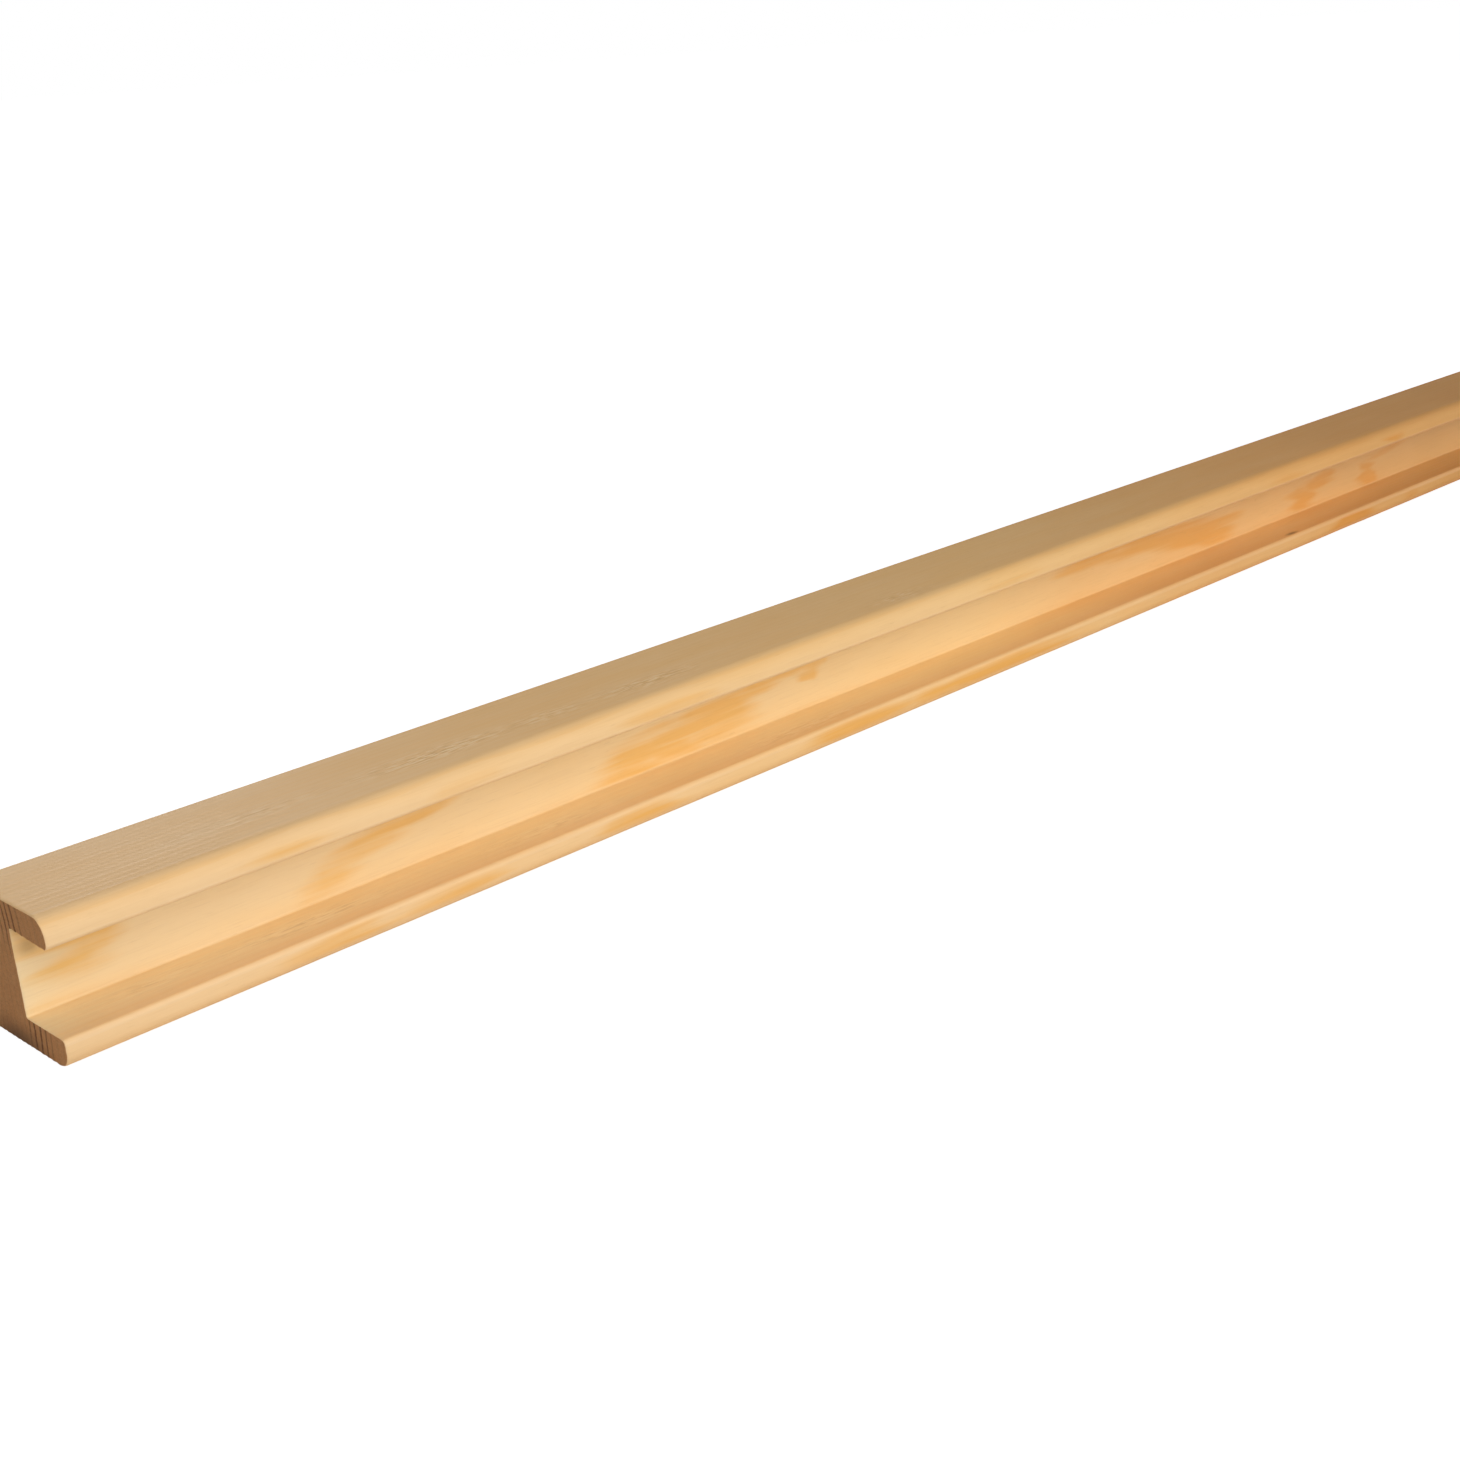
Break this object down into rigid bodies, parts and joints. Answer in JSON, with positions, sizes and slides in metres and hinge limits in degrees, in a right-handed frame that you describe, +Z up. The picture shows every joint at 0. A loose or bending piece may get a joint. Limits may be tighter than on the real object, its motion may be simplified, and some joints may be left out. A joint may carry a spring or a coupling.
{
  "type": "grooved timber moulding",
  "caption": "Straight length of planed pine, square in section, with a deep rectangular groove along its front between a rounded lip and flange, as a finger grip or panel-edge rail.",
  "frame": {"origin": "on the base, at the middle of the length and of the depth", "axes": "+X along the length, +Y towards the flat back face, +Z up; the groove opens towards -Y"},
  "size_m": [1, 0.028, 0.028],
  "materials": {
    "pine": "planed, raw"
  },
  "bodies": {
    "root": {"moulding": "pine"}
  },
  "joints": []
}
